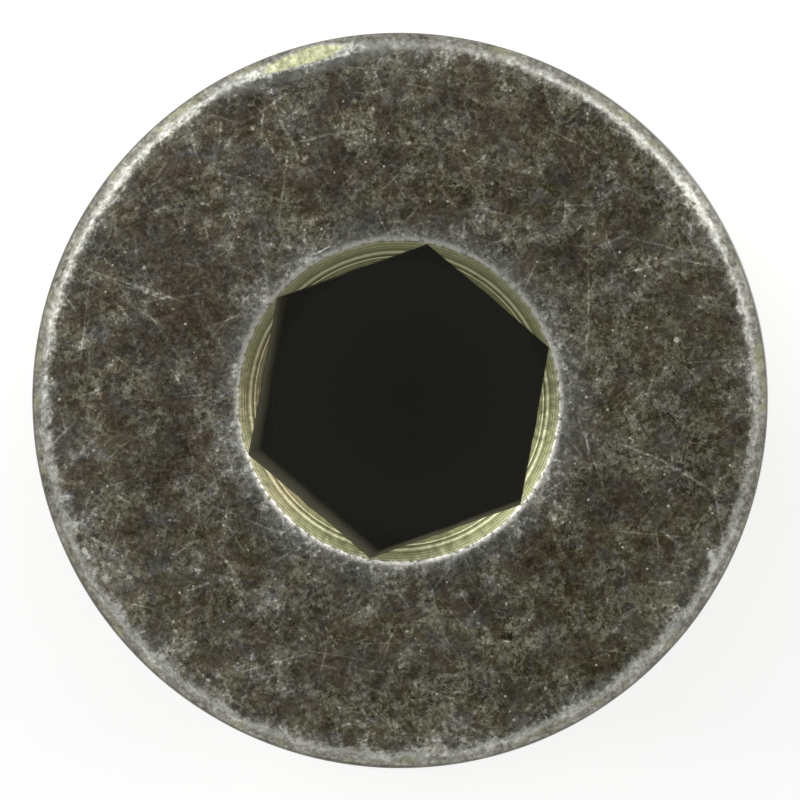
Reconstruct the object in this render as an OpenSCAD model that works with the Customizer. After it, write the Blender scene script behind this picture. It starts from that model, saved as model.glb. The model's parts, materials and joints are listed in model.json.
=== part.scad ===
// Screw plug with a collar and a hex socket, which closes a threaded port.
// One turned steel piece. It stands on the end of its shank, with the collar on top, and its
// origin is the centre of that end. The thread's own turns are not drawn: the shank has the
// thread's major diameter.

/* [Collar] */
// Diameter of the collar
collar_d = 27; // [25:0.1:36]
// Height of the collar, from the sealing face to the top face
collar_h = 4; // [2.5:0.1:8]
// Width and height of the chamfer round the top face
top_chamfer = 0.7; // [0.4:0.05:1.5]
// Radius that blends the chamfer into the top face and into the collar's side
edge_blend_r = 0.3; // [0.1:0.05:0.4]
// Width and height of the edge break round the sealing face
seal_chamfer = 0.3; // [0.1:0.05:0.6]

/* [Shank] */
// Length of the shank, from its end to the sealing face
shank_l = 14; // [12:0.1:24]
// Major diameter of the thread
thread_d = 22; // [20:0.1:23]
// Pitch of the thread
thread_pitch = 1.5; // [1:0.25:2]
// Length of the relief groove's floor, from the foot of its ramp to the sealing face
relief_floor_l = 1.2; // [1:0.1:2.5]
// Clearance from the thread's root down to the floor of the relief groove
relief_clearance = 0.23; // [0.05:0.01:0.4]
// Fillet radius where the relief groove meets the sealing face
relief_seal_r = 0.5; // [0.2:0.05:0.6]
// Fillet radius where the floor of the relief groove meets its ramp
relief_ramp_r = 0.8; // [0.2:0.05:1]

/* [Socket] */
// Size of the hex key, across its flats
key_af = 10; // [8:0.1:11]
// Clearance that the socket has over the key, across the flats
key_clearance = 0.1; // [0.02:0.01:0.2]
// Depth of the socket's flats under the top face
socket_depth = 7.5; // [4:0.1:9]
// How much wider than the socket's flats the pilot drill is
pilot_over = 0.06; // [0.04:0.01:0.3]
// Depth of the pilot hole under the flats, which leaves room for the broached chips
chip_room = 1.5; // [0.5:0.1:2]
// Included angle of the drill's point
drill_point_angle = 118; // [90:1:140]
// Included angle of the countersink at the mouth
mouth_angle = 120; // [90:1:140]
// How far the mouth of the countersink stands outside the socket's corners
mouth_land = 0.05; // [0.02:0.01:0.4]
// Radius that blends the countersink into the top face
mouth_blend_r = 0.4; // [0.1:0.05:0.6]

/* [Hidden] */

STEEL = "#5b574a"; // zinc-plated steel, darkened with age
THREAD_DEPTH_RATIO = 0.6134; // depth of a metric external thread, over its pitch
RELIEF_RAMP_ANGLE = 30; // between the ramp and the shank's axis
END_BEVEL = 0.1; // how far the end's bevel reaches in under the thread's root
OVERCUT = 1; // how far a cutting tool starts outside the metal
KITE_SCALE = 1.5; // how much larger than the corner that it rounds a rounding tool is
$fn = 120;

collar_r = collar_d / 2;
thread_r = thread_d / 2;
thread_depth = THREAD_DEPTH_RATIO * thread_pitch;
end_bevel = thread_depth + END_BEVEL;

plug_h = shank_l + collar_h;

relief_r = thread_r - thread_depth - relief_clearance;
relief_ramp_l = (thread_r - relief_r) / tan(RELIEF_RAMP_ANGLE);
relief_floor_low = shank_l - relief_floor_l;

socket_af = key_af + key_clearance;
socket_corner_r = socket_af / 2 / cos(30);
pilot_r = (socket_af + pilot_over) / 2;
pilot_low = plug_h - socket_depth - chip_room;
mouth_r = socket_corner_r + mouth_land;
mouth_slope = 90 - mouth_angle / 2; // between the countersink and the top face

// Corners of the turned section, as [radius, height]
end_corner = [thread_r - end_bevel, 0];
end_bevel_top = [thread_r, end_bevel];
relief_start = [thread_r, relief_floor_low - relief_ramp_l];
relief_foot = [relief_r, relief_floor_low];
relief_root = [relief_r, shank_l];
seal_rim_low = [collar_r - seal_chamfer, shank_l];
seal_rim_high = [collar_r, shank_l + seal_chamfer];
chamfer_low = [collar_r, plug_h - top_chamfer];
chamfer_high = [collar_r - top_chamfer, plug_h];
top_centre = [0, plug_h];
mouth_rim = [mouth_r, plug_h];

function unit(v) = v / norm(v);

// What a rounding tool takes off a corner: a kite whose sides cross the surface squarely where
// the arc begins and ends, less the circle itself. The corner's two sides run to points a and b.
module corner_round(corner, a, b, r) {
    side_a = unit(a - corner);
    side_b = unit(b - corner);
    half_angle = acos(side_a * side_b) / 2;
    reach = r / tan(half_angle);
    centre = corner + unit(side_a + side_b) * r / sin(half_angle);
    kite = [centre, corner + side_a * reach, corner, corner + side_b * reach];
    difference() {
        polygon([for (p = kite) centre + (p - centre) * KITE_SCALE]);
        translate(centre) circle(r);
    }
}

// What is turned off the bar to leave the shank, the relief groove and the sealing face
module shank_cut() {
    difference() {
        polygon([
            end_corner - [OVERCUT, OVERCUT], end_bevel_top, relief_start, relief_foot, relief_root,
            seal_rim_low, seal_rim_high + [OVERCUT, OVERCUT], [collar_r + OVERCUT, -OVERCUT]
        ]);
        corner_round(relief_foot, relief_start, relief_root, relief_ramp_r);
        corner_round(relief_root, relief_foot, seal_rim_low, relief_seal_r);
    }
}

// Half section of the turned piece, without its socket
module turned_section() {
    difference() {
        polygon([[0, 0], [collar_r, 0], chamfer_low, chamfer_high, top_centre]);
        shank_cut();
        corner_round(chamfer_low, seal_rim_high, chamfer_high, edge_blend_r);
        corner_round(chamfer_high, chamfer_low, top_centre, edge_blend_r);
    }
}

// The pilot hole and its conical drill point
module pilot_drill() {
    point_h = pilot_r / tan(drill_point_angle / 2);
    translate([0, 0, pilot_low]) cylinder(r = pilot_r, h = plug_h - pilot_low + OVERCUT);
    translate([0, 0, pilot_low - point_h]) cylinder(r1 = 0, r2 = pilot_r, h = point_h);
}

// The hexagon, with two corners on the X axis
module broach() {
    translate([0, 0, plug_h - socket_depth])
        cylinder(r = socket_corner_r, h = socket_depth + OVERCUT, $fn = 6);
}

// The countersink, as a full cone that runs on above the top face
module countersink() {
    cone_r = mouth_r + OVERCUT;
    cone_h = cone_r * tan(mouth_slope);
    translate([0, 0, plug_h + OVERCUT * tan(mouth_slope) - cone_h])
        cylinder(r1 = 0, r2 = cone_r, h = cone_h);
}

// The ring that rounds the countersink's outer edge
module mouth_blend() {
    down_the_cone = mouth_rim - [cos(mouth_slope), sin(mouth_slope)];
    rotate_extrude() corner_round(mouth_rim, down_the_cone, chamfer_high, mouth_blend_r);
}

module plug_body() {
    color(STEEL) difference() {
        rotate_extrude() turned_section();
        pilot_drill();
        broach();
        countersink();
        mouth_blend();
    }
}

plug_body();
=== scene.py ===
"""A worn screw plug with a collar and a hex socket: its thread, its plating and its wear.

One closed surface stands for the whole turned piece. It is a grid. Each row is a ring round the
plug's axis, and the rows follow the section from the drill point at the bottom of the socket, up
the socket's walls, out over the collar, and down the shank to the middle of its end.
"""

import cmath
import json
import math

import bmesh
import bpy
import numpy as np
from mathutils import Matrix, Vector


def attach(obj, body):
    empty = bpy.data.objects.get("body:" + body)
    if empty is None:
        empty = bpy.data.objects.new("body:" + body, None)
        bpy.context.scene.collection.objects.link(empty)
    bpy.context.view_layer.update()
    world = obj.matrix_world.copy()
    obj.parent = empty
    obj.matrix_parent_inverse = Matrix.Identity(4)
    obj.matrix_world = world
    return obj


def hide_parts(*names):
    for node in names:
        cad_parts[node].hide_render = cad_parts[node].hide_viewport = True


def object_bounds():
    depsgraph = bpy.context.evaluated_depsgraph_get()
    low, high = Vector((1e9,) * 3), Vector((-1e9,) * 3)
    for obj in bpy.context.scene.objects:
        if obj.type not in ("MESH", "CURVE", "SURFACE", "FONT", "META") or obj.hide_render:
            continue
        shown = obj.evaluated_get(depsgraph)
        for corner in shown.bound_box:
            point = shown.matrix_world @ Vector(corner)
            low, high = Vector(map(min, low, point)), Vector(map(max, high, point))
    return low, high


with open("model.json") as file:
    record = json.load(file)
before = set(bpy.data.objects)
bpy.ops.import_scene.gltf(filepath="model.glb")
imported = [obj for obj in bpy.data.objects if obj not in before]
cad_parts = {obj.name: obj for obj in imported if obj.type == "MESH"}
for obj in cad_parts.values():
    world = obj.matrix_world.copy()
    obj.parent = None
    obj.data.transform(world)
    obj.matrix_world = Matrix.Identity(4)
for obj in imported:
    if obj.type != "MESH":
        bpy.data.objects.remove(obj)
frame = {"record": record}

MM = 0.001  # one millimetre, in metres

# ---- Sizes, in millimetres. The first ones come from the frame. ----

cad_low, cad_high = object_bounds()
mounts = {mount["name"]: mount for mount in frame["record"]["mounts"]}

COLLAR_R = cad_high.x / MM
PLUG_H = cad_high.z / MM
SEAL_Z = mounts["sealing_face"]["pos_m"][2] / MM
THREAD_R = mounts["thread"]["dims"]["r_mm"]

CHAMFER_W = 0.55  # mean width of the chamfer round the top face
CHAMFER_SLOPE = 0.85  # its fall over its width
CHAMFER_OFF_CENTRE = 0.04  # the chamfer was turned this far off the collar's axis
CHAMFER_OFF_TOWARDS = -109  # where it is widest for that, as an angle in the view
SEAL_CHAMFER = 0.3  # width and height of the edge break round the sealing face
FACE_ROLL_OFF = 0.012  # how far the top face falls towards its rim

PITCH = 1.5
THREAD_DEPTH = 0.6134 * PITCH
ROOT_R = THREAD_R - THREAD_DEPTH
END_BEVEL = 0.1  # how far the end's bevel reaches in under the thread's root
END_R = ROOT_R - END_BEVEL
RELIEF_CLEARANCE = 0.23  # from the thread's root down to the floor of the relief groove
RELIEF_R = ROOT_R - RELIEF_CLEARANCE
RELIEF_FLOOR_LOW = SEAL_Z - 1.2
RELIEF_SEAL_FILLET = 0.5
RAMP_ANGLE = math.radians(30)  # between the relief groove's ramp and the axis

SOCKET_AF = 10.1  # size across the flats
SOCKET_DEPTH = 7.5
PILOT_R = SOCKET_AF / 2 + 0.03
CHIP_ROOM = 1.5  # depth of the pilot hole under the flats
DRILL_SLOPE = 1 / math.tan(math.radians(118 / 2))  # rise of the drill point over its radius
MOUTH_LAND = 0.05  # how far the countersink's mouth stands outside the socket's corners
MOUTH_R = SOCKET_AF / 2 / math.cos(math.radians(30)) + MOUTH_LAND
MOUTH_SLOPE = math.tan(math.radians(90 - 120 / 2))
MOUTH_WEAR = 0.07  # how much wider the mouth has worn than it was cut

# How far each rounded edge reaches to either side of its corner
LIP_ROUND = 0.04  # where the socket's walls meet the countersink
MOUTH_ROUND = 0.05
RIM_ROUND = 0.25
CHAMFER_ROUND = 0.1  # where the chamfer meets the collar's side
SEAL_ROUND = 0.05
RAMP_ROUND = 0.21  # the fillet at the foot of the ramp
END_ROUND = 0.04

# ---- Where the camera stands. Angles round the axis in the view start at its right. ----

VIEW_TURN = math.radians(19.7)  # the view shows the model's +X this far above its right
VIEW_TILT = math.radians(2.9)
VIEW_TILT_TOWARDS = math.radians(30)
VIEW_DISTANCE = 370
VIEW_WIDTH = 29.31  # how much the view takes in from side to side, at the top face
VIEW_CENTRE = (0.055, 0.046)  # middle of the view, right of and above the plug's axis


def model_angle(view_angle):
    """The angle round the model's axis of an angle in degrees in the view."""
    return math.radians(view_angle) - VIEW_TURN


# ---- Wear that has its own place. Places are millimetres right of and above the axis, in the
# view. ----

BRUISE_ANGLE = 105.3  # where the large bruise in the rim is
BRUISE_R = 12.77  # how far in it reaches
BRUISE_LEAN = 61  # elevation of the normal of its flat, in degrees
KNOCKS = 40  # small ones, along the rim
KNOCK_LEAN = (52, 74)
KNOCK_DEPTH = 0.02

# Scratches in the top face, each from one place to another, with its half width and strength. A
# negative strength is a dark pit.
SCRATCHES = (
    (-11.60, 4.86, -9.90, 4.30, 0.06, 0.7),
    (-10.30, 4.43, -7.70, 3.59, 0.07, 0.8),
    (-11.40, 4.66, -7.80, 3.50, 0.05, 0.5),
    (-9.40, 3.26, -8.45, 2.57, 0.08, 0.8),
    (-4.90, 10.99, -5.08, 9.56, 0.05, 0.7),
    (-4.68, 11.51, -4.38, 10.33, 0.05, 0.5),
    (-4.40, 10.40, -3.80, 9.30, 0.06, 0.6),
    (-3.80, 9.50, -3.65, 8.61, 0.06, 0.6),
    (-3.94, 9.45, -2.30, 9.82, 0.08, 0.8),
    (-2.44, 9.78, -1.27, 9.93, 0.09, 0.9),
    (-2.44, 9.78, -1.19, 9.38, 0.06, 0.8),
    (-1.19, 10.00, -1.16, 9.38, 0.06, 0.8),
    (-3.91, 10.52, -3.61, 10.66, 0.06, 1.0),
    (5.62, 7.18, 7.38, 7.18, 0.05, 0.7),
    (6.10, 7.88, 6.10, 6.23, 0.05, 0.7),
    (6.94, 6.23, 6.98, 2.49, 0.045, 0.6),
    (8.15, 6.05, 10.38, 5.53, 0.05, 0.6),
    (7.97, -1.50, 10.10, -2.32, 0.06, 0.9),
    (9.60, -2.10, 12.25, -3.74, 0.06, 0.9),
    (10.68, -4.95, 11.52, -3.74, 0.05, 0.7),
    (-2.95, -10.30, -2.59, -8.87, 0.05, 0.6),
    (1.66, -9.97, 2.40, -10.11, 0.06, 0.7),
    (1.48, -10.63, 2.58, -10.70, 0.06, 0.7),
    (-11.62, -5.56, -11.38, -5.46, 0.16, 1.4),
    (11.33, -5.81, 11.59, -5.37, 0.15, 1.2),
    (12.49, 3.20, 12.59, 3.42, 0.12, 1.4),
    (10.08, 2.18, 10.26, 2.34, 0.14, 1.2),
    (-7.84, -6.98, -6.88, -6.66, 0.07, 0.8),
    (-3.06, 5.39, -2.44, 5.74, 0.05, 1.3),
    (3.74, -8.60, 4.24, -8.66, 0.16, -2.6),
    (3.84, -8.79, 4.12, -8.81, 0.05, 2.2),
)

# Patches of the top face where the brown passivation is whole, patches where it is worn thin,
# and small light spots: the place and the radius of each
WHOLE_PATCHES = (
    (-7.7, 3.9, 1.8), (-8.5, 5.8, 1.4), (-6.3, 4.9, 1.2), (-2.3, 8.6, 1.4), (-8.7, 2.4, 1.2),
    (3.6, 9.8, 1.1), (-5.2, 10.6, 1.0), (-8.3, -2.0, 1.3), (5.0, -5.4, 1.3), (8.2, -3.6, 1.2),
)
THIN_PATCHES = (
    (1.6, 6.8, 1.4), (7.5, -9.4, 1.5), (-4.6, -5.2, 1.5), (2.0, -8.3, 1.3), (-5.5, 6.9, 1.4),
    (6.9, 0.6, 1.2), (-6.5, -4.6, 1.2), (-10.9, 3.2, 1.0), (-5.2, -10.6, 1.3),
)
SPOTS = (
    (-1.60, 10.99, 0.10), (-5.37, 10.00, 0.12), (-5.44, 10.85, 0.10), (-1.89, 12.09, 0.10),
    (-4.64, 11.84, 0.08), (-9.29, 4.84, 0.12), (-7.83, 6.56, 0.08), (-8.01, 7.29, 0.09),
    (-10.69, 5.09, 0.10), (-8.85, 3.52, 0.07), (-8.30, 3.34, 0.08), (8.33, -8.68, 0.10),
    (6.17, -10.11, 0.10), (5.44, -10.48, 0.09), (7.64, -7.26, 0.10), (10.16, 2.27, 0.12),
    (11.41, -5.57, 0.12), (-8.93, -5.57, 0.10), (-7.20, 7.22, 0.10), (9.91, -3.85, 0.08),
)


# ---- Camera, light and floor ----

def direction(angle, elevation):
    """Unit vector at an angle round the axis and an elevation above the floor, in radians."""
    level = math.cos(elevation)
    return Vector((math.cos(angle) * level, math.sin(angle) * level, math.sin(elevation)))


def make_camera():
    """A long lens almost straight above the plug, leaning a little to one side."""
    data = bpy.data.cameras.new("camera")
    data.sensor_width = 36
    data.lens = data.sensor_width * VIEW_DISTANCE / VIEW_WIDTH
    data.clip_start = 0.01
    data.clip_end = 10
    back = direction(VIEW_TILT_TOWARDS - VIEW_TURN, math.pi / 2 - VIEW_TILT)
    view_up = direction(math.pi / 2 - VIEW_TURN, 0)
    right = view_up.cross(back).normalized()
    up = back.cross(right)
    target = Vector((0, 0, PLUG_H)) + right * VIEW_CENTRE[0] + up * VIEW_CENTRE[1]
    camera = bpy.data.objects.new("camera", data)
    bpy.context.scene.collection.objects.link(camera)
    turn = Matrix((right, up, back)).transposed().to_4x4()
    camera.matrix_world = Matrix.Translation((target + back * VIEW_DISTANCE) * MM) @ turn
    bpy.context.scene.camera = camera


def make_softbox(name, view_angle, elevation, power, width=0.6, height=0.2, distance=0.6):
    """A wide, low lamp that faces the plug, with its size and distance in metres."""
    data = bpy.data.lights.new(name, "AREA")
    data.shape = "RECTANGLE"
    data.size = width
    data.size_y = height
    data.energy = power
    lamp = bpy.data.objects.new(name, data)
    bpy.context.scene.collection.objects.link(lamp)
    towards = direction(model_angle(view_angle), math.radians(elevation))
    lamp.location = towards * distance + Vector((0, 0, PLUG_H * MM))
    lamp.rotation_euler = towards.to_track_quat("Z", "Y").to_euler()


def colour(code):
    """The linear colour of an sRGB hex code."""
    values = [int(code[i:i + 2], 16) / 255 for i in (1, 3, 5)]
    return [v / 12.92 if v <= 0.04045 else ((v + 0.055) / 1.055) ** 2.4 for v in values] + [1]


def add(tree, kind, links=None, stops=(), **settings):
    """Adds a shader node. settings are its own properties. links maps its inputs, by name or by
    number, to a value, to an output socket, or to a node, whose first output is then used.
    stops are the colour codes of a ramp, evenly spaced from 0 to 1."""
    node = tree.nodes.new("ShaderNode" + kind)
    for key, value in settings.items():
        setattr(node, key, value)
    for key, value in (links or {}).items():
        if isinstance(value, bpy.types.Node):
            value = next(output for output in value.outputs if output.enabled)
        if isinstance(value, bpy.types.NodeSocket):
            tree.links.new(value, node.inputs[key])
        else:
            node.inputs[key].default_value = value
    for i, code in enumerate(stops):
        ramp = node.color_ramp.elements
        stop = ramp[i] if i < 2 else ramp.new(1)
        stop.position = i / (len(stops) - 1)
        stop.color = colour(code)
    return node


def make_world():
    """Plain white light from all round, at half strength."""
    world = bpy.data.worlds.new("studio")
    world.use_nodes = True
    background = world.node_tree.nodes["Background"]
    background.inputs["Color"].default_value = (1, 1, 1, 1)
    background.inputs["Strength"].default_value = 0.5
    bpy.context.scene.world = world


def make_floor():
    """A wide sheet of matt white paper: one square under the plug's end. It keeps shadows, and
    looks white to the camera and in reflections."""
    half = 4  # half its width, in metres
    gap = 0.01 * MM  # keeps it clear of the plug's end
    mesh = bpy.data.meshes.new("floor")
    corners = [(x * half, y * half, -gap) for x, y in ((-1, -1), (1, -1), (1, 1), (-1, 1))]
    mesh.from_pydata(corners, [], [(0, 1, 2, 3)])
    floor = bpy.data.objects.new("floor", mesh)
    bpy.context.scene.collection.objects.link(floor)

    material = bpy.data.materials.new("white_paper")
    material.use_nodes = True
    tree = material.node_tree
    tree.nodes.clear()
    path = add(tree, "LightPath")
    seen = add(tree, "Math", {0: path.outputs["Is Camera Ray"], 1: path.outputs["Is Glossy Ray"]},
               operation="ADD")
    seen = add(tree, "Math", {0: seen.outputs[0], 1: path.outputs["Is Transmission Ray"]},
               operation="ADD", use_clamp=True)
    to_white = 0.45  # what the lit paper lacks to be white
    glow = add(tree, "Math", {0: seen.outputs[0], 1: to_white}, operation="MULTIPLY")
    paper = add(tree, "BsdfDiffuse", {"Color": (0.88, 0.88, 0.88, 1)})
    light = add(tree, "Emission", {"Color": (1, 1, 1, 1), "Strength": glow.outputs[0]})
    both = add(tree, "AddShader", {0: paper.outputs[0], 1: light.outputs[0]})
    add(tree, "OutputMaterial", {"Surface": both.outputs[0]})
    mesh.materials.append(material)


# ---- The plug's surface ----

COLUMNS = 420  # a multiple of 6, so that the socket's corners fall on columns
TURN = np.linspace(0, 2 * math.pi, COLUMNS + 1)  # the last column closes the round
SOCKET_FINISH, COLLAR_FINISH, SHANK_FINISH = range(3)


def ring(radius, height):
    """A ring as (radius, height) at every column."""
    return np.stack([radius + 0 * TURN, height + 0 * TURN], axis=-1)


def straight(start, end, steps):
    """Rings on straight lines from start to end, evenly spaced, without start itself."""
    share = np.arange(1, steps + 1)[:, None, None] / steps
    return start + (end - start) * share


def rounded(start, corner, end, steps):
    """Rings on parabolas that leave start towards corner and reach end coming from corner."""
    share = np.arange(1, steps + 1)[:, None, None] / steps
    return (1 - share) ** 2 * start + 2 * share * (1 - share) * corner + share ** 2 * end


def waver(seed, height, periods):
    """A value at each column that wanders round the plug: a sum of cosines with random phases,
    whose heights fall off with the square root of the number of periods in a turn."""
    random = np.random.default_rng(seed)
    count = np.arange(2, periods)
    phase = random.uniform(0, 2 * math.pi, len(count))
    waves = np.cos(np.outer(TURN, count) + phase) / np.sqrt(count)
    total = waves.sum(axis=1)
    return height * total / np.abs(total).max()


def socket_radius():
    """Distance of the socket's wall from the axis: half the size across the flats over the cosine
    of the angle from the flat's middle, or the pilot hole's radius where that is larger."""
    sixth = math.pi / 3
    off_flat = np.mod(TURN + 1e-9, sixth) - sixth / 2  # the small step keeps corners on one side
    hexagon = SOCKET_AF / 2 / np.cos(off_flat)
    return np.maximum(hexagon, PILOT_R)


def cone_height(radius):
    """Height of the countersink's cone at a radius."""
    return PLUG_H - (MOUTH_R + MOUTH_WEAR - radius) * MOUTH_SLOPE


def thread_rings(top, bottom, envelope):
    """Rings along the thread from top to bottom. A row is a helix: its height climbs by one pitch
    in a turn, and its radius is the thread's outline at the row's place in the pitch, cut to
    the envelope. Rows past the two ends are gathered onto them, so the ends are level rings."""
    root_round = PITCH / 8 * math.sqrt(3)  # radius of the circle that rounds the root
    # Where the rows lie in a pitch, which starts at one edge of the crest. They are closer
    # together over the rounded root.
    shares = np.array([0, 0.125, 0.28, 0.4375, 0.485, 0.5225, 0.5625, 0.6025, 0.64, 0.6875, 0.845])
    from_crest = np.abs(np.mod(shares - 0.0625 + 0.5, 1) - 0.5) * PITCH
    flank = THREAD_R - (from_crest - PITCH / 16) * math.sqrt(3)
    to_root = PITCH / 2 - from_crest
    centre = ROOT_R + root_round * 2 / 3
    inside = np.clip((root_round * 2 / 3) ** 2 - to_root ** 2, 0, None)
    bowl = centre - np.sqrt(inside)
    in_root = from_crest > 0.375 * PITCH
    outline = np.where(in_root, np.maximum(bowl, ROOT_R), np.minimum(flank, THREAD_R))

    turns = math.ceil((top - bottom) / PITCH) + 2
    climb = (np.arange(turns)[:, None] + shares).ravel() * PITCH
    radius = np.tile(outline, turns)
    order = np.argsort(-climb)
    height = bottom - PITCH + climb[order][:, None] + TURN / (2 * math.pi) * PITCH
    height = np.clip(height, bottom, top)
    radius = np.minimum(radius[order][:, None], envelope(height))
    at_end = (height <= bottom) | (height >= top)
    radius = np.where(at_end, envelope(height), radius)
    return np.stack([radius, height], axis=-1)


def plug_rows():
    """All rings of the plug with the finish of each, and the rows of the countersink's inner edge,
    of its outer edge and of the face's rim."""
    rows = []
    finishes = []

    def lay(rings, finish):
        rows.append(rings.reshape(-1, COLUMNS + 1, 2))
        finishes.extend([finish] * len(rows[-1]))

    def last():
        return rows[-1][-1]

    # Up the socket
    wall = socket_radius()
    hex_low = PLUG_H - SOCKET_DEPTH
    pilot_low = hex_low - CHIP_ROOM
    lay(ring(0, pilot_low - PILOT_R * DRILL_SLOPE), SOCKET_FINISH)
    lay(straight(last(), ring(PILOT_R, pilot_low), 3), SOCKET_FINISH)
    lay(straight(last(), ring(PILOT_R, hex_low), 2), SOCKET_FINISH)
    lay(straight(last(), ring(wall, hex_low), 1), SOCKET_FINISH)
    lay(straight(last(), ring(wall, cone_height(wall) - LIP_ROUND), 6), SOCKET_FINISH)

    # Over the countersink's inner edge, and up its cone to the worn outer edge
    lip_row = len(finishes)
    cone_start_r = wall + LIP_ROUND
    cone_start = ring(cone_start_r, cone_height(cone_start_r))
    lay(rounded(last(), ring(wall, cone_height(wall)), cone_start, 2), COLLAR_FINISH)
    worn = MOUTH_ROUND + waver(2, 0.02, 60)
    mouth_r = MOUTH_R + MOUTH_WEAR
    cone_end_r = np.maximum(mouth_r - worn, cone_start_r + 0.005)
    lay(straight(last(), ring(cone_end_r, cone_height(cone_end_r)), 10), COLLAR_FINISH)
    mouth_row = len(finishes) + 3
    face_start = ring(mouth_r + worn * 1.3, PLUG_H)
    lay(rounded(last(), ring(mouth_r, PLUG_H), face_start, 6), COLLAR_FINISH)

    # Out over the top face, which rolls off a little towards its rim, and down the chamfer
    off_centre = CHAMFER_OFF_CENTRE * np.cos(TURN - model_angle(CHAMFER_OFF_TOWARDS))
    chamfer_w = CHAMFER_W + off_centre + waver(5, 0.03, 90)
    face_r = COLLAR_R - chamfer_w
    rim_z = PLUG_H - FACE_ROLL_OFF
    worn = RIM_ROUND + waver(7, 0.06, 80)
    lay(straight(last(), ring(face_r - 0.8, PLUG_H), 20), COLLAR_FINISH)
    lay(rounded(last(), ring(face_r - worn - 0.3, PLUG_H), ring(face_r - worn, rim_z), 5),
        COLLAR_FINISH)
    rim_row = len(finishes) + 4
    chamfer_start = ring(face_r + worn * 0.7, rim_z - worn * 0.7 * CHAMFER_SLOPE)
    lay(rounded(last(), ring(face_r, rim_z), chamfer_start, 8), COLLAR_FINISH)
    chamfer_low = rim_z - chamfer_w * CHAMFER_SLOPE
    edge = CHAMFER_ROUND + waver(11, 0.03, 70)
    lay(straight(last(), ring(COLLAR_R - edge, chamfer_low + edge * CHAMFER_SLOPE), 6), COLLAR_FINISH)
    lay(rounded(last(), ring(COLLAR_R, chamfer_low), ring(COLLAR_R, chamfer_low - edge), 5),
        COLLAR_FINISH)

    # Down the collar's side, in along the sealing face and into the relief groove
    break_high = SEAL_Z + SEAL_CHAMFER
    break_start = ring(COLLAR_R - SEAL_ROUND, break_high - SEAL_ROUND)
    break_end = ring(COLLAR_R - SEAL_CHAMFER + SEAL_ROUND, SEAL_Z + SEAL_ROUND)
    seal_edge = ring(COLLAR_R - SEAL_CHAMFER - SEAL_ROUND, SEAL_Z)
    lay(straight(last(), ring(COLLAR_R, break_high + SEAL_ROUND), 5), COLLAR_FINISH)
    lay(rounded(last(), ring(COLLAR_R, break_high), break_start, 2), COLLAR_FINISH)
    lay(straight(last(), break_end, 1), COLLAR_FINISH)
    lay(rounded(last(), ring(COLLAR_R - SEAL_CHAMFER, SEAL_Z), seal_edge, 2), COLLAR_FINISH)
    lay(straight(last(), ring(RELIEF_R + RELIEF_SEAL_FILLET, SEAL_Z), 4), COLLAR_FINISH)
    groove_top = ring(RELIEF_R, SEAL_Z - RELIEF_SEAL_FILLET)
    lay(rounded(last(), ring(RELIEF_R, SEAL_Z), groove_top, 6), SHANK_FINISH)

    # Down the groove's floor and ramp, along the thread, and over its bevelled end
    lay(straight(last(), ring(RELIEF_R, RELIEF_FLOOR_LOW + RAMP_ROUND), 1), SHANK_FINISH)
    ramp_foot = ring(RELIEF_R + RAMP_ROUND * math.sin(RAMP_ANGLE),
                     RELIEF_FLOOR_LOW - RAMP_ROUND * math.cos(RAMP_ANGLE))
    lay(rounded(last(), ring(RELIEF_R, RELIEF_FLOOR_LOW), ramp_foot, 3), SHANK_FINISH)
    thread_high = RELIEF_FLOOR_LOW - RELIEF_CLEARANCE / math.tan(RAMP_ANGLE)
    ramp_low = RELIEF_FLOOR_LOW - (THREAD_R - RELIEF_R) / math.tan(RAMP_ANGLE)

    def envelope(height):
        heights = [0, THREAD_R - END_R, ramp_low, RELIEF_FLOOR_LOW]
        return np.interp(height, heights, [END_R, THREAD_R, THREAD_R, RELIEF_R])

    lay(thread_rings(thread_high, END_BEVEL, envelope), SHANK_FINISH)
    # The bevel is at 45 degrees, so 0.03 both ways is about END_ROUND along it
    lay(straight(last(), ring(END_R + 0.03, 0.03), 1), SHANK_FINISH)
    lay(rounded(last(), ring(END_R, 0), ring(END_R - END_ROUND, 0), 2), SHANK_FINISH)
    lay(straight(last(), ring(0, 0), 6), SHANK_FINISH)
    return np.concatenate(rows), np.array(finishes), lip_row, mouth_row, rim_row


def knock(points, place, lean):
    """A knock that leaves a flat: every point beyond a plane through a place is moved back onto
    it. The plane's normal points outwards, and lean is its elevation in degrees. Returns how far
    each point was outside the plane."""
    normal = np.array(direction(math.atan2(place[1], place[0]), math.radians(lean)))
    beyond = (points - place) @ normal
    points -= np.clip(beyond, 0, None)[..., None] * normal
    return beyond


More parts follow.
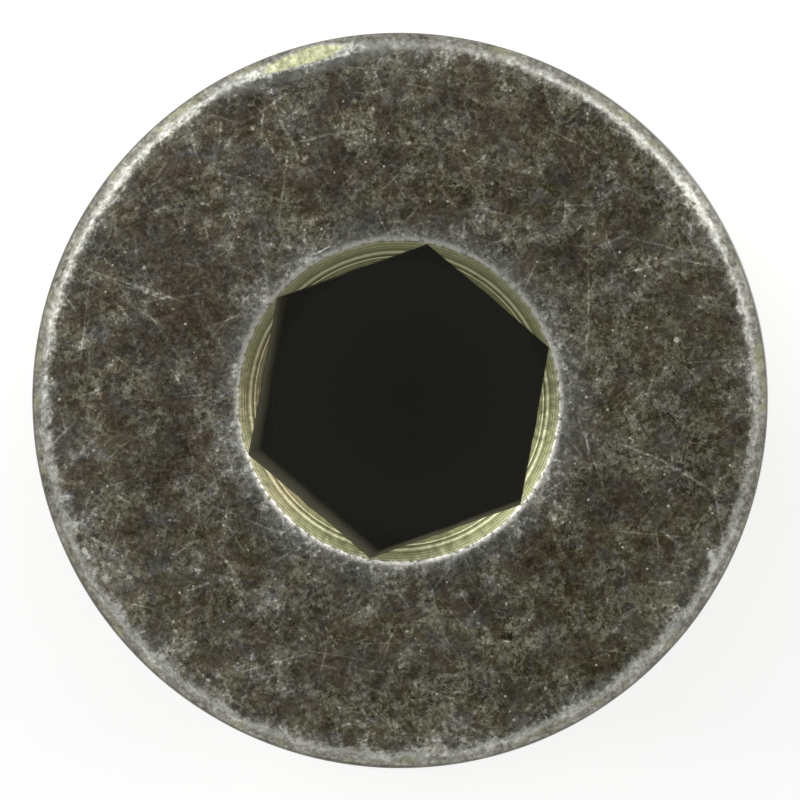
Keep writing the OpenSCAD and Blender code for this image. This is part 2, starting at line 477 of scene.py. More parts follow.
def make_plug():
    """The whole turned piece, from its rows of rings, welded along its seam and at its ends. A
    point is its radius times the cosine and the sine of its column's angle, at its height."""
    rings, finishes, lip_row, mouth_row, rim_row = plug_rows()
    radius, height = rings[..., 0], rings[..., 1]
    points = np.stack([radius * np.cos(TURN), radius * np.sin(TURN), height], axis=-1)

    # Distance of each point along the section from the socket's mouth and from the face's rim
    steps = np.linalg.norm(np.diff(rings, axis=0), axis=-1)
    run = np.concatenate([np.zeros((1, COLUMNS + 1)), np.cumsum(steps, axis=0)])
    mouth_run = run - run[mouth_row]
    rim_run = run - run[rim_row]

    # One large bruise, and small knocks on the rim
    collar = points[mouth_row:]
    random = np.random.default_rng(31)
    for _ in range(KNOCKS):
        place = points[rim_row, random.integers(COLUMNS)] - (0, 0, random.uniform(0, KNOCK_DEPTH))
        knock(collar, place, random.uniform(*KNOCK_LEAN))
    place = direction(model_angle(BRUISE_ANGLE), 0) * BRUISE_R + Vector((0, 0, PLUG_H))
    bruise = np.full(radius.shape, -COLLAR_R)
    bruise[mouth_row:] = knock(collar, place, BRUISE_LEAN)

    crest = np.clip((radius - ROOT_R) / THREAD_DEPTH, 0, 1)
    lip = np.zeros(radius.shape)
    lip[lip_row] = 1

    rows, columns = radius.shape
    corner = np.arange(rows * columns).reshape(rows, columns)
    faces = np.stack([corner[:-1, :-1], corner[1:, :-1], corner[1:, 1:], corner[:-1, 1:]], axis=-1)
    mesh = bpy.data.meshes.new("plug")
    mesh.from_pydata((points.reshape(-1, 3) * MM).tolist(), [], faces.reshape(-1, 4).tolist())
    mesh.polygons.foreach_set("material_index", np.repeat(finishes[1:], columns - 1).astype(np.int32))
    for name, values in (("mouth_run", mouth_run), ("rim_run", rim_run), ("bruise", bruise),
                         ("crest", crest), ("lip", lip)):
        attribute = mesh.attributes.new(name, "FLOAT", "POINT")
        attribute.data.foreach_set("value", values.astype(np.float32).ravel())

    same_place = 2e-7  # points closer than this, in metres, are one
    shape = bmesh.new()
    shape.from_mesh(mesh)
    bmesh.ops.remove_doubles(shape, verts=shape.verts, dist=same_place)
    bmesh.ops.dissolve_degenerate(shape, edges=shape.edges, dist=same_place)
    shape.to_mesh(mesh)
    shape.free()
    mesh.shade_smooth()
    mesh.set_sharp_from_angle(angle=math.radians(32))
    plug = bpy.data.objects.new("plug", mesh)
    bpy.context.scene.collection.objects.link(plug)
    return plug


# ---- Finishes ----

def new_finish(name):
    """A new material with an empty node tree, and its Object coordinates in millimetres."""
    material = bpy.data.materials.new(name)
    material.use_nodes = True
    tree = material.node_tree
    tree.nodes.clear()
    place = add(tree, "TexCoord").outputs["Object"]
    in_mm = add(tree, "VectorMath", {0: place, "Scale": 1 / MM}, operation="SCALE")
    return material, tree, in_mm


def finish_surface(tree, base, roughness, height, **sockets):
    """Ends a tree in a surface. height is its relief, in millimetres."""
    bump = add(tree, "Bump", {"Height": height, "Distance": MM})
    links = {"Base Color": base, "Roughness": roughness, "Normal": bump}
    surface = add(tree, "BsdfPrincipled", links | sockets)
    add(tree, "OutputMaterial", {"Surface": surface})


def weighted_sum(tree, terms):
    """The sum of values, each times its weight."""
    total = 0
    for value, weight in terms:
        total = add(tree, "Math", {0: value, 1: weight, 2: total}, operation="MULTIPLY_ADD")
    return total


def product(tree, value, *others):
    """A value times others."""
    for other in others:
        value = add(tree, "Math", {0: value, 1: other}, operation="MULTIPLY")
    return value


def layered(tree, ground, *layers):
    """A colour with layers over it, each given as how much it covers and its colour."""
    for cover, over in layers:
        ground = add(tree, "Mix", {"Factor": cover, "A": ground, "B": over}, data_type="RGBA")
    return ground


def towards(tree, in_mm, view_angle):
    """How far a place lies from the axis towards an angle in the view, in millimetres."""
    along = direction(model_angle(view_angle), 0)
    return add(tree, "VectorMath", {0: in_mm, 1: along}, operation="DOT_PRODUCT").outputs["Value"]


def bend(tree, in_mm, noise, reach):
    """Coordinates moved sideways by a noise's colour, whose middle value moves them by nothing.
    reach is how far its whole range moves them, in millimetres."""
    move = add(tree, "VectorMath", {0: noise.outputs["Color"], 1: (0.5, 0.5, 0.5)},
               operation="SUBTRACT")
    return add(tree, "VectorMath", {0: move, 1: (reach, reach, 0), 2: in_mm},
               operation="MULTIPLY_ADD")


def random_net(tree, in_mm, per_mm, shift):
    """The cells round a flat net of random points, with per_mm cells in a millimetre. Returns the
    shifted coordinates, the net, and three random numbers for each cell."""
    moved = add(tree, "VectorMath", {0: in_mm, 1: shift}, operation="ADD")
    net = add(tree, "TexVoronoi", {"Vector": moved, "Scale": per_mm}, voronoi_dimensions="2D")
    chance = add(tree, "SeparateColor", {0: net.outputs["Color"]})
    return moved, net, chance


def strokes(tree, in_mm, per_mm, length, width, seed, share):
    """Straight strokes, at most one to a cell of a random net. Each is turned its own way, and
    share is how many cells have one. Its length and the width of its soft edge are in
    millimetres."""
    moved, net, chance = random_net(tree, in_mm, per_mm, (seed * 17.3, seed * 9.1, 0))
    local = add(tree, "VectorMath", {0: moved, 1: net.outputs["Position"]}, operation="SUBTRACT")
    angle = product(tree, chance.outputs[0], 2 * math.pi)
    turned = add(tree, "VectorRotate", {"Vector": local, "Angle": angle}, rotation_type="Z_AXIS")
    turned = add(tree, "SeparateXYZ", {0: turned})
    along = add(tree, "Math", {0: turned.outputs[0]}, operation="ABSOLUTE")
    along = add(tree, "MapRange", {"Value": along, "From Min": length * 0.25, "From Max": length * 0.5,
                                   "To Min": 1, "To Max": 0})
    across = add(tree, "Math", {0: turned.outputs[1]}, operation="ABSOLUTE")
    across = add(tree, "MapRange", {"Value": across, "From Min": width * 0.3, "From Max": width,
                                    "To Min": 1, "To Max": 0}, interpolation_type="SMOOTHSTEP")
    strength = add(tree, "MapRange", {"Value": chance.outputs[1], "From Min": 1 - share, "From Max": 1})
    return product(tree, along, across, strength)


def streaks(tree, in_mm, length, width, angles, low, high):
    """Streaks in several directions, in degrees: for each, a noise drawn out along it. length and
    width are its scale in millimetres, and a streak shows where the noise goes over low."""
    shown = []
    for angle in angles:
        local = add(tree, "Mapping", {0: in_mm, "Location": (angle, 0, 0),
                                      "Rotation": (0, 0, math.radians(angle)),
                                      "Scale": (length, width, 1)}, vector_type="TEXTURE")
        noise = add(tree, "TexNoise", {"Vector": local, "Scale": 1, "Detail": 0})
        shown.append((add(tree, "MapRange", {"Value": noise, "From Min": low, "From Max": high}), 1))
    return weighted_sum(tree, shown)


def specks(tree, in_mm, per_mm, size, seed, share):
    """Round specks, at most one to a cell of a random net. size is the largest one's radius in
    millimetres, and share is how many cells have one."""
    net, chance = random_net(tree, in_mm, per_mm, (seed * 11.7, seed * 5.3, 0))[1:]
    radius = add(tree, "MapRange", {"Value": chance.outputs[0], "From Min": 1 - share, "From Max": 1,
                                    "To Min": 0, "To Max": size * per_mm})
    inside = add(tree, "Math", {0: radius, 1: net.outputs["Distance"]}, operation="SUBTRACT")
    return add(tree, "MapRange", {"Value": inside, "From Min": 0, "From Max": 0.015 * per_mm},
               interpolation_type="SMOOTHSTEP")


def turned_lines(tree, in_mm):
    """Lines that a lathe tool leaves: a noise of the height plus the distance from the axis, so
    that they run round the sides and are rings on the flats. Real ones are about 0.05 mm apart,
    and are drawn coarser here, so that they show."""
    height = add(tree, "SeparateXYZ", {0: in_mm}).outputs[2]
    level = add(tree, "VectorMath", {0: in_mm, 1: (1, 1, 0)}, operation="MULTIPLY")
    radius = add(tree, "VectorMath", {0: level}, operation="LENGTH").outputs["Value"]
    along = add(tree, "Math", {0: height, 1: radius}, operation="ADD")
    slow = add(tree, "VectorMath", {0: level, "Scale": 0.016}, operation="SCALE")
    return add(tree, "TexNoise", {"Vector": slow, "W": along, "Scale": 9, "Detail": 2,
                                  "Roughness": 0.7}, noise_dimensions="4D")


def patches(tree, bent, places, inner):
    """Round patches at places in the view: 1 in each patch's middle and 0 at its radius. inner is
    the share of the radius that is full, and bent are coordinates that have been made uneven."""
    total = 0
    for x, y, radius in places:
        middle = complex(x, y) * cmath.exp(-1j * VIEW_TURN)
        away = add(tree, "VectorMath", {0: bent, 1: (middle.real, middle.imag, PLUG_H)},
                   operation="DISTANCE")
        patch = add(tree, "MapRange", {"Value": away.outputs["Value"], "From Min": radius,
                                       "From Max": radius * inner})
        total = add(tree, "Math", {0: patch, 1: total}, operation="MAXIMUM")
    return total


def placed_marks(tree, in_mm):
    """Scratches, a pit and light spots in the top face, large enough to be seen one by one. A
    scratch is a thin ellipse that fades towards its edge, and a spot is a ragged round patch."""
    sway = add(tree, "TexNoise", {"Vector": in_mm, "Scale": 2.5, "Detail": 2})
    wavy = bend(tree, in_mm, sway, 0.1)
    ragged = bend(tree, in_mm, sway, 0.3)
    total = 0
    for x0, y0, x1, y1, width, strength in SCRATCHES:
        middle = complex(x0 + x1, y0 + y1) / 2 * cmath.exp(-1j * VIEW_TURN)
        reach = complex(x1 - x0, y1 - y0) / 2 * cmath.exp(-1j * VIEW_TURN)
        local = add(tree, "Mapping", {0: wavy, "Location": (middle.real, middle.imag, PLUG_H),
                                      "Rotation": (0, 0, cmath.phase(reach)),
                                      "Scale": (abs(reach), width, 100)}, vector_type="TEXTURE")
        mark = add(tree, "TexGradient", {0: local}, gradient_type="SPHERICAL")
        mark = add(tree, "Math", {0: mark.outputs["Fac"], 1: 0.45}, operation="POWER")
        total = add(tree, "Math", {0: mark, 1: strength, 2: total}, operation="MULTIPLY_ADD")
    return weighted_sum(tree, [(total, 1), (patches(tree, ragged, SPOTS, 0.4), 1)])


# Noises in the collar's finish: lumps per millimetre, detail, roughness and distortion. Handling
# has worn the plating in patches of 1 to 2 mm, the whole face drifts over some 8 mm, and the
# rubbed edges change every 0.4 mm. The plating's own grain is a few hundredths of a millimetre,
# and is drawn at 0.17 mm here, so that it shows.
NOISES = {
    "cloud": (0.5, 7, 0.85, 0),
    "scuff": (0.8, 5, 0.75, 0.5),
    "coarse": (2.6, 3, 0.8, 0),
    "grain": (6, 1, 0.7, 0),
    "ruffle": (4, 2, 0.8, 0),
    "sway": (0.8, 3, 0.7, 0),
    "drift": (0.13, 1, 0.5, 0),
    "ground": (0.7, 6, 0.8, 0),
    "greenish": (1.1, 3, 0.75, 0),
    "blot": (1.3, 2, 0.6, 0),
    "haze": (0.6, 2, 0.6, 0),
    "edges": (2.6, 3, 0.7, 0),
    "lumps": (2.2, 1.5, 0.5, 0),
}


def wear_noises(tree, in_mm):
    """The noises and flakes of the collar's finish, by name. ruffled are uneven coordinates, for
    marks with a ruffled outline."""
    wear = {}
    for name, (scale, detail, roughness, distortion) in NOISES.items():
        wear[name] = add(tree, "TexNoise", {"Vector": in_mm, "Scale": scale, "Detail": detail,
                                            "Roughness": roughness, "Distortion": distortion})

    # Flakes about 0.6 mm and 0.2 mm across: the cells of a random net, with ruffled edges
    ruffled = bend(tree, in_mm, wear["ruffle"], 0.7)
    wear["ruffled"] = ruffled
    for name, per_mm in (("plates", 1.8), ("chips", 4.8)):
        flakes = add(tree, "TexVoronoi", {"Vector": ruffled, "Scale": per_mm}, voronoi_dimensions="2D")
        wear[name] = add(tree, "SeparateColor", {0: flakes.outputs["Color"]})
    for name, start, end in (("light_chip", 0.6, 1), ("dark_chip", 0.4, 0)):
        wear[name] = add(tree, "MapRange", {"Value": wear["chips"], "From Min": start, "From Max": end})
    return wear


def face_colour(tree, in_mm, wear, band, halo, mouth_run, rim_run):
    """Colour of the top face. band falls from 1 at its edges to 0 about a millimetre away, and
    halo is how much of the passivation is gone there. mouth_run and rim_run are the distances
    from the mouth and from the rim."""
    # The face is lighter and shows more zinc towards the lower left, and is darker and greener towards
    # the lower right
    to_lower_left = towards(tree, in_mm, 225)
    to_lower_right = towards(tree, in_mm, -35)
    outward = add(tree, "MapRange", {"Value": rim_run, "From Min": -5, "From Max": 0,
                                     "To Max": 0.09})
    inward = add(tree, "MapRange", {"Value": mouth_run, "From Min": 2.4, "From Max": 0.8,
                                    "To Max": 0.05})
    scuffed = add(tree, "MapRange", {"Value": wear["scuff"], "From Min": 0.45, "From Max": 0.55},
                  interpolation_type="SMOOTHSTEP")
    patch = add(tree, "MapRange", {"Value": wear["coarse"], "From Min": 0.48, "From Max": 0.58},
                interpolation_type="SMOOTHSTEP")
    bent = bend(tree, in_mm, wear["sway"], 3)
    whole = patches(tree, bent, WHOLE_PATCHES, 0.5)
    worn_thin = patches(tree, bent, THIN_PATCHES, 0.5)
    less = add(tree, "MapRange", {"Value": whole, "To Min": 1, "To Max": 0.15})
    scuffed = product(tree, scuffed, less)

    # Fine strokes of handling, 0.7 mm long, and hairlines of 1.3 and 4 mm. Real ones are 0.01 to
    # 0.02 mm wide, and are drawn coarser here, so that they show.
    short = streaks(tree, in_mm, 0.5, 0.10, (12, 57, 98, 143), 0.58, 0.74)
    web = weighted_sum(tree, [(strokes(tree, wear["ruffled"], 2.2, 0.7, 0.06, seed, 0.8), 1)
                              for seed in (1, 2, 3, 4)])
    web_strength = add(tree, "MapRange", {"Value": scuffed, "To Min": 0.3, "To Max": 1})
    web = product(tree, web, web_strength)
    web = add(tree, "MapRange", {"Value": web, "To Max": 0.7})
    lines = [(strokes(tree, in_mm, 0.9, 1.3, 0.06, seed, 0.6), 1) for seed in (11, 12, 13)]
    lines += [(strokes(tree, in_mm, 0.28, 4.0, 0.05, seed, 0.6), 1) for seed in (21, 22)]
    lines = weighted_sum(tree, lines)
    marks = placed_marks(tree, in_mm)

    # Where zinc shows through, blue grey: in blots, in smears and along the edges
    smears = streaks(tree, in_mm, 1.8, 0.45, (20, 65, 110, 155), 0.65, 0.78)
    blot = weighted_sum(tree, [(wear["blot"], 1), (to_lower_left, 0.002), (worn_thin, 0.08),
                               (whole, -0.06), (1, -0.01)])
    blot = add(tree, "MapRange", {"Value": blot, "From Min": 0.56, "From Max": 0.67},
               interpolation_type="SMOOTHSTEP")
    haze = add(tree, "MapRange", {"Value": wear["haze"], "From Min": 0.42, "From Max": 0.60,
                                  "To Max": 0.45})
    thin = weighted_sum(tree, [(smears, 0.45), (blot, 0.6), (haze, 1), (halo, 1)])
    thin = add(tree, "Math", {0: thin, 1: 1}, operation="MINIMUM")
    edge = add(tree, "Math", {0: band, 1: 3}, operation="POWER")

    dots = specks(tree, in_mm, 3.4, 0.06, 5, 0.35)
    texture = weighted_sum(tree, [
        (wear["ground"], 1.2), (wear["grain"], 0.7), (wear["light_chip"], 0.17), (patch, 0.09),
        (short, 0.08), (dots, 0.18), (1, -0.955)])
    scuffed_more = add(tree, "MapRange", {"Value": scuffed, "To Min": 0.65, "To Max": 1.15})
    texture = product(tree, texture, scuffed_more)
    tone = weighted_sum(tree, [
        (wear["drift"], 0.3), (outward, 1), (inward, 1), (scuffed, 0.05), (texture, 1),
        (wear["plates"], 0.10), (wear["dark_chip"], -0.08), (lines, 0.21), (marks, 0.4),
        (thin, 0.03), (edge, 0.28), (whole, -0.05), (to_lower_left, 0.0015),
        (to_lower_right, -0.004), (1, 0.064)])

    # Each colour from dark to light: brown passivation, olive where it is scuffed, and zinc
    brown = add(tree, "ValToRGB", {0: tone},
                ["#352b1e", "#473c2e", "#605447", "#817867", "#aca796", "#e8e4d4"])
    olive = add(tree, "ValToRGB", {0: tone},
                ["#322e1a", "#44402b", "#5c5843", "#7d7a65", "#aba894", "#e8e5d1"])
    zinc = add(tree, "ValToRGB", {0: tone},
               ["#2e2d28", "#3f3e39", "#575650", "#787771", "#a6a5a0", "#e4e3dd"])
    greenish = weighted_sum(tree, [(wear["greenish"], 0.7), (wear["scuff"], 0.8),
                                   (to_lower_right, 0.004), (whole, -0.13), (1, 0.01)])
    greenish = add(tree, "MapRange", {"Value": greenish, "From Min": 0.66, "From Max": 0.81},
                   interpolation_type="SMOOTHSTEP")
    glint = specks(tree, in_mm, 1.7, 0.06, 1, 0.22)
    return layered(tree, brown, (greenish, olive), (thin, zinc), (web, colour("#93917c")),
                   (glint, colour("#c9c5b8")))


def countersink_colour(tree, in_mm, wear, mouth_run, rings):
    """Colour of the countersink: olive passivation in the turned rings, paler next to its outer
    edge, with a warm tarnish in places and old grease along its inner edge."""
    paler = add(tree, "MapRange", {"Value": mouth_run, "From Min": -0.36, "From Max": -0.14,
                                   "To Max": 0.07})
    tone = weighted_sum(tree, [(rings, 1), (wear["coarse"], 0.12), (paler, 1), (1, -0.06)])
    tone = add(tree, "MapRange", {"Value": tone, "From Min": 0.36, "From Max": 0.66})
    olive = add(tree, "ValToRGB", {0: tone}, ["#4c4e32", "#757855", "#90936e", "#dedebc"])
    warm = add(tree, "ValToRGB", {0: tone}, ["#564c36", "#807355", "#9a8e74", "#d6caa8"])
    tarnish = weighted_sum(tree, [(towards(tree, in_mm, 185), 0.12), (mouth_run, -0.3),
                                  (wear["scuff"], 1.5), (1, -0.75)])
    tarnish = add(tree, "MapRange", {"Value": tarnish, "From Min": 0.45, "From Max": 0.95,
                                     "To Max": 0.8})
    lip = add(tree, "Attribute", attribute_name="lip").outputs["Fac"]
    lip = add(tree, "MapRange", {"Value": lip, "From Min": 0.2, "From Max": 0.7, "To Max": 0.8})
    return layered(tree, olive, (tarnish, warm), (lip, colour("#3f3524")))


def chamfer_colour(tree, in_mm, wear, rim_run, to_rim, to_bottom):
    """Colour of the chamfer and of the collar's side, with its tone and how much dirt and painted
    shade there is: a mottle of worn zinc and yellow olive, paler towards the bottom of the view,
    with turned lines on the side, and dirt and painted shade from the chamfer's lower edge down."""
    rubbed = add(tree, "MapRange", {"Value": to_bottom, "From Min": 4, "From Max": 11})
    chips = weighted_sum(tree, [(wear["light_chip"], 0.15), (wear["dark_chip"], -0.15)])
    turned = weighted_sum(tree, [(turned_lines(tree, in_mm), 1), (1, -0.5)])
    side = add(tree, "MapRange", {"Value": rim_run, "From Min": 0.7, "From Max": 0.85})
    chips = add(tree, "Mix", {"Factor": side, "A": chips, "B": turned})
    mottle = weighted_sum(tree, [(wear["cloud"], 1.8), (wear["grain"], 1.2), (rubbed, 0.2),
                                 (chips, 1), (1, -1.02)])
    chamfer = add(tree, "ValToRGB", {0: mottle},
                  ["#56554d", "#747269", "#8e8c82", "#a7a59b", "#cac8be"])
    yellow = add(tree, "MapRange", {"Value": wear["scuff"], "From Min": 0.52, "From Max": 0.62,
                                    "To Max": 0.6})
    # The dark band at the chamfer's lower edge is dirt and painted shade, where the edge turns down
    grime_and_shade = add(tree, "MapRange", {"Value": rim_run, "From Min": 0.50, "From Max": 0.66},
                interpolation_type="SMOOTHSTEP")
    grime_and_shade_end = add(tree, "MapRange", {"Value": to_rim, "From Min": 0.9, "From Max": 1.5,
                                       "To Min": 0.85, "To Max": 0.25})
    grime_and_shade = product(tree, grime_and_shade, grime_and_shade_end)
    chamfer = layered(tree, chamfer, (yellow, colour("#a5a67f")), (grime_and_shade, colour("#605f57")))
    return chamfer, mottle, grime_and_shade


def collar_finish():
    """Zinc plating with an olive passivation, over a turned steel collar. Handling has left the
    top face dull and dark. It is brown where the passivation is whole and olive grey where fine
    strokes have scuffed it, and both its edges are rubbed to bare, bright zinc. A painted
    highlight lies along the mouth's polished edge and on the burr by the bruise, and painted
    shade lies along the chamfer's lower edge."""
    material, tree, in_mm = new_finish("olive_zinc_collar")
    mouth_run = add(tree, "Attribute", attribute_name="mouth_run").outputs["Fac"]
    rim_run = add(tree, "Attribute", attribute_name="rim_run").outputs["Fac"]
    bruise = add(tree, "Attribute", attribute_name="bruise").outputs["Fac"]
    wear = wear_noises(tree, in_mm)

    # Distances from the edges, made uneven by up to 0.16 mm
    ragged = add(tree, "MapRange", {"Value": wear["edges"], "From Min": 0.3, "From Max": 0.7,
                                    "To Min": -0.16, "To Max": 0.16}, clamp=False)
    to_rim = add(tree, "Math", {0: rim_run, 1: ragged}, operation="ADD")
    to_mouth = add(tree, "Math", {0: mouth_run, 1: ragged}, operation="ADD")

    # Passivation as it was made, in the countersink and on the chamfer. The tool's rings are some
    # 0.05 mm apart, and are drawn at 0.17 mm here, so that they show.
    rings = add(tree, "TexNoise", {"W": mouth_run, "Scale": 6, "Detail": 2, "Roughness": 0.7},
                noise_dimensions="1D")
    to_bottom = towards(tree, in_mm, -85)
    sink = countersink_colour(tree, in_mm, wear, mouth_run, rings)
    chamfer, mottle, grime_and_shade = chamfer_colour(tree, in_mm, wear, rim_run, to_rim, to_bottom)
    on_chamfer = add(tree, "Math", {0: mouth_run, 1: 0.5}, operation="GREATER_THAN")
    base = layered(tree, sink, (on_chamfer, chamfer))

    # Bare zinc, rubbed bright along both edges
    near_rim = add(tree, "MapRange", {"Value": to_rim, "From Min": 0.10, "From Max": 0.36,
                                      "To Min": 1, "To Max": 0}, interpolation_type="SMOOTHSTEP")
    edge_of_mouth = weighted_sum(tree, [(mouth_run, 1), (ragged, 0.15), (wear["grain"], 0.12),
                                        (1, -0.06)])
    near_mouth = add(tree, "MapRange", {"Value": edge_of_mouth, "From Min": -0.14, "From Max": -0.06},
                     interpolation_type="SMOOTHSTEP")
    bare = add(tree, "Mix", {"Factor": on_chamfer, "A": near_mouth, "B": near_rim})
    zinc = add(tree, "ValToRGB", {0: mottle}, ["#82827b", "#9f9f98", "#b9b9b1", "#d0d0c8", "#ecece4"])
    # Painted highlight: the polished line along the mouth's edge is bare zinc, painted near white
    # towards the bottom of the view, where the lamps catch it
    highlight_towards_bottom = add(tree, "MapRange", {"Value": to_bottom, "From Min": -3, "From Max": 4})
    bright = layered(tree, colour("#c6c4ba"), (highlight_towards_bottom, colour("#fcfaf0")))
    polished = add(tree, "MapRange", {"Value": edge_of_mouth, "From Min": 0.11, "From Max": 0.03},
                   interpolation_type="SMOOTHSTEP")
    lumpy = add(tree, "MapRange", {"Value": wear["grain"], "From Min": 0.38, "From Max": 0.56,
                                   "To Min": 0.05})
    polished = product(tree, polished, lumpy)
    zinc = layered(tree, zinc, (polished, bright))
    base = layered(tree, base, (bare, zinc))

    # The face, which greys towards its edges and towards the bruise
    band_rim = add(tree, "MapRange", {"Value": to_rim, "From Min": -0.85, "From Max": 0.0})
    band_mouth = add(tree, "MapRange", {"Value": to_mouth, "From Min": 1.3, "From Max": 0.05})
    band_bruise = add(tree, "MapRange", {"Value": bruise, "From Min": -0.35, "From Max": 0.0})
    band = add(tree, "Math", {0: band_rim, 1: band_mouth}, operation="MAXIMUM")
    band = add(tree, "Math", {0: band, 1: band_bruise}, operation="MAXIMUM")
    uneven = add(tree, "MapRange", {"Value": wear["cloud"], "From Min": 0.42, "From Max": 0.58,
                                    "To Min": 0.45, "To Max": 1.1})
    halo = product(tree, band_mouth, uneven)
    halo = weighted_sum(tree, [(band, 0.4), (halo, 0.8)])
    face = face_colour(tree, in_mm, wear, band, halo, mouth_run, rim_run)
    inside_rim = add(tree, "MapRange", {"Value": to_rim, "From Min": -0.20, "From Max": 0.12,
                                        "To Min": 1, "To Max": 0}, interpolation_type="SMOOTHSTEP")
    past_mouth = add(tree, "MapRange", {"Value": edge_of_mouth, "From Min": -0.03, "From Max": 0.17},
                     interpolation_type="SMOOTHSTEP")
    on_face = product(tree, inside_rim, past_mouth)
    base = layered(tree, base, (on_face, face))

    # The face is rubbed grey beside the bruise, with a burr along the bruise's edge: bare zinc painted
    # near white, partly a painted highlight
    beside = weighted_sum(tree, [(bruise, 1), (ragged, 0.15)])
    inner = add(tree, "MapRange", {"Value": rim_run, "From Min": 0.15, "From Max": 0.30,
                                   "To Min": 1, "To Max": 0})
    uneven = product(tree, uneven, inner)
    grey = add(tree, "MapRange", {"Value": beside, "From Min": -0.26, "From Max": -0.10, "To Max": 0.6})
    grey = product(tree, grey, uneven)
    burr = add(tree, "MapRange", {"Value": beside, "From Min": -0.050, "From Max": -0.020})
    burr = product(tree, burr, lumpy, inner)
    base = layered(tree, base, (grey, colour("#8d8f89")), (burr, colour("#eaeae0")))

    # The bruise has cut through the dirt to fresh passivation, which does not show over the band of
    # dirt and painted shade along the chamfer's lower edge
    cut = weighted_sum(tree, [(bruise, 1), (ragged, 0.05), (1, -0.004)])
    cut = add(tree, "MapRange", {"Value": cut, "From Min": 0.0, "From Max": 0.012})
    clean = add(tree, "MapRange", {"Value": grime_and_shade, "To Min": 0.9, "To Max": 0})
    cut = product(tree, cut, clean)
    fresh = add(tree, "ValToRGB", {0: mottle}, ["#9c9f80", "#b3b78c", "#c9cd9e", "#dcdfbb", "#f0f0dc"])
    off_cut = add(tree, "Math", {0: bruise}, operation="ABSOLUTE")
    burr = add(tree, "MapRange", {"Value": off_cut, "From Min": 0.004, "From Max": 0.016,
                                  "To Min": 0.8, "To Max": 0})
    burr = product(tree, burr, clean)
    base = layered(tree, base, (cut, fresh), (burr, zinc))

    # Relief: grain on the face, turned rings, and lumps of 0.5 mm along the rubbed edges
    from_mouth = add(tree, "MapRange", {"Value": mouth_run, "From Min": 0.0, "From Max": 0.2})
    from_rim = add(tree, "MapRange", {"Value": rim_run, "From Min": 0.0, "From Max": -0.3})
    flat = product(tree, from_mouth, from_rim)
    face_grain = product(tree, wear["grain"], flat)
    at_edge = add(tree, "Math", {0: 1, 1: flat}, operation="SUBTRACT")
    lumps = add(tree, "Math", {0: wear["lumps"], 1: 0.5}, operation="SUBTRACT")
    lumps = product(tree, lumps, at_edge)
    height = weighted_sum(tree, [(face_grain, 0.02), (rings, 0.005), (lumps, 0.06)])
    roughness = add(tree, "MapRange", {"Value": on_face, "To Min": 0.42, "To Max": 0.52})
    finish_surface(tree, base, roughness, height, Metallic=1.0)
    return material


def socket_finish():
    """Broached steel, old and greasy: matt olive grey, with the faint upright streaks that the
    broach left. The walls are painted a little lighter towards the bottom, and the pilot hole's
    wall lighter than its floor, as painted light against the shade of the depth. Nothing shines,
    and the depth makes it dark. The streaks are 0.17 mm wide, coarser than real ones, so that
    they show."""
    material, tree, in_mm = new_finish("greasy_broached_steel")
    height = add(tree, "SeparateXYZ", {0: in_mm}).outputs[2]
    broached = add(tree, "Mapping", {0: in_mm, "Scale": (1, 1, 0.06)})
    broached = add(tree, "TexNoise", {"Vector": broached, "Scale": 6, "Detail": 3, "Roughness": 0.8})
    up = add(tree, "MapRange", {"Value": height, "From Min": PLUG_H - SOCKET_DEPTH,
                                "From Max": PLUG_H - 1})
    up = weighted_sum(tree, [(up, 1), (broached, 0.5), (1, -0.25)])
    # Painted light: the wall is coloured lighter towards the socket's bottom, against the shade of the
    # depth
    wall = add(tree, "ValToRGB", {0: up}, ["#777564", "#727060", "#6b6957", "#6c6a58"])
    at_bottom = add(tree, "MapRange", {"Value": height, "From Min": PLUG_H - SOCKET_DEPTH + 0.04,
                                       "From Max": PLUG_H - SOCKET_DEPTH + 0.01})
    deep = add(tree, "MapRange", {"Value": height, "From Min": PLUG_H - SOCKET_DEPTH,
                                  "From Max": PLUG_H - SOCKET_DEPTH - CHIP_ROOM})
    # Greasy grey on the ledge and the drill point, with the pilot hole's wall painted lighter: painted
    # light against the shade it stands in
    grease_and_painted_light = add(tree, "ValToRGB", {0: deep}, ["#54534c", "#84837c", "#84837c", "#5d5c55"])
    base = layered(tree, wall, (at_bottom, grease_and_painted_light))
    relief = product(tree, broached, 0.01)
    finish_surface(tree, base, 0.8, relief, **{"Specular IOR Level": 0.0})
    return material


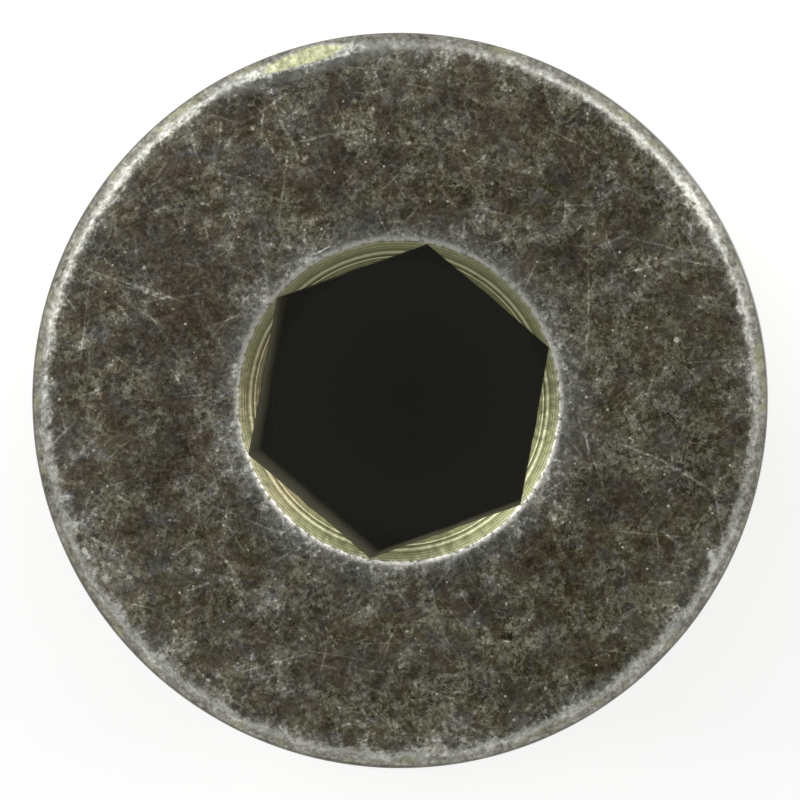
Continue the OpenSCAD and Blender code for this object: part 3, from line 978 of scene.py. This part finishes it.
def shank_finish():
    """The same zinc plating with an olive passivation, on the groove, the thread and the end. The
    rolled thread is smooth. Its crests are rubbed to bare zinc, old oil lies in its roots, and
    faint turned lines run round the groove and the end."""
    material, tree, in_mm = new_finish("olive_zinc_thread")
    crest = add(tree, "Attribute", attribute_name="crest").outputs["Fac"]
    cloud = add(tree, "TexNoise", {"Vector": in_mm, "Scale": 1.1, "Detail": 6, "Roughness": 0.75})
    grain = add(tree, "TexNoise", {"Vector": in_mm, "Scale": 7, "Detail": 1, "Roughness": 0.7})
    turned = turned_lines(tree, in_mm)
    tone = weighted_sum(tree, [(cloud, 2.2), (grain, 0.6), (turned, 0.5), (1, -1.15)])
    plated = add(tree, "ValToRGB", {0: tone}, ["#5a563e", "#7d7856", "#989372", "#b6b192", "#d0ccb4"])
    zinc = add(tree, "ValToRGB", {0: tone}, ["#7a7a73", "#95958e", "#adada5", "#c6c6be", "#dededa"])

    rubbed = weighted_sum(tree, [(crest, 1), (cloud, 1.6), (grain, 0.5), (1, -1.05)])
    rubbed = add(tree, "MapRange", {"Value": rubbed, "From Min": 0.78, "From Max": 1.0, "To Max": 0.85})

    in_thread = add(tree, "MapRange", {"Value": crest, "From Min": 0.0, "From Max": 0.03})
    oiled = weighted_sum(tree, [(crest, -1), (cloud, 1.2), (1, -0.1)])
    oiled = add(tree, "MapRange", {"Value": oiled, "From Min": 0.0, "From Max": 0.5, "To Max": 0.8})
    oiled = product(tree, oiled, in_thread)
    base = layered(tree, plated, (rubbed, zinc), (oiled, colour("#37342a")))

    roughness = add(tree, "MapRange", {"Value": cloud, "From Min": 0.35, "From Max": 0.65,
                                       "To Min": 0.34, "To Max": 0.5})
    relief = weighted_sum(tree, [(grain, 0.008), (turned, 0.006)])
    finish_surface(tree, base, roughness, relief, Metallic=1.0)
    return material


# ---- The scene ----

make_camera()
make_world()
make_floor()
make_softbox("softbox_left", view_angle=143, elevation=29, power=1.4)
make_softbox("softbox_right", view_angle=38, elevation=29, power=1.1)
bpy.context.scene.view_settings.view_transform = "Standard"

plug = make_plug()
for finish in (socket_finish(), collar_finish(), shank_finish()):
    plug.data.materials.append(finish)
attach(plug, "root")
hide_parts("plug_body")
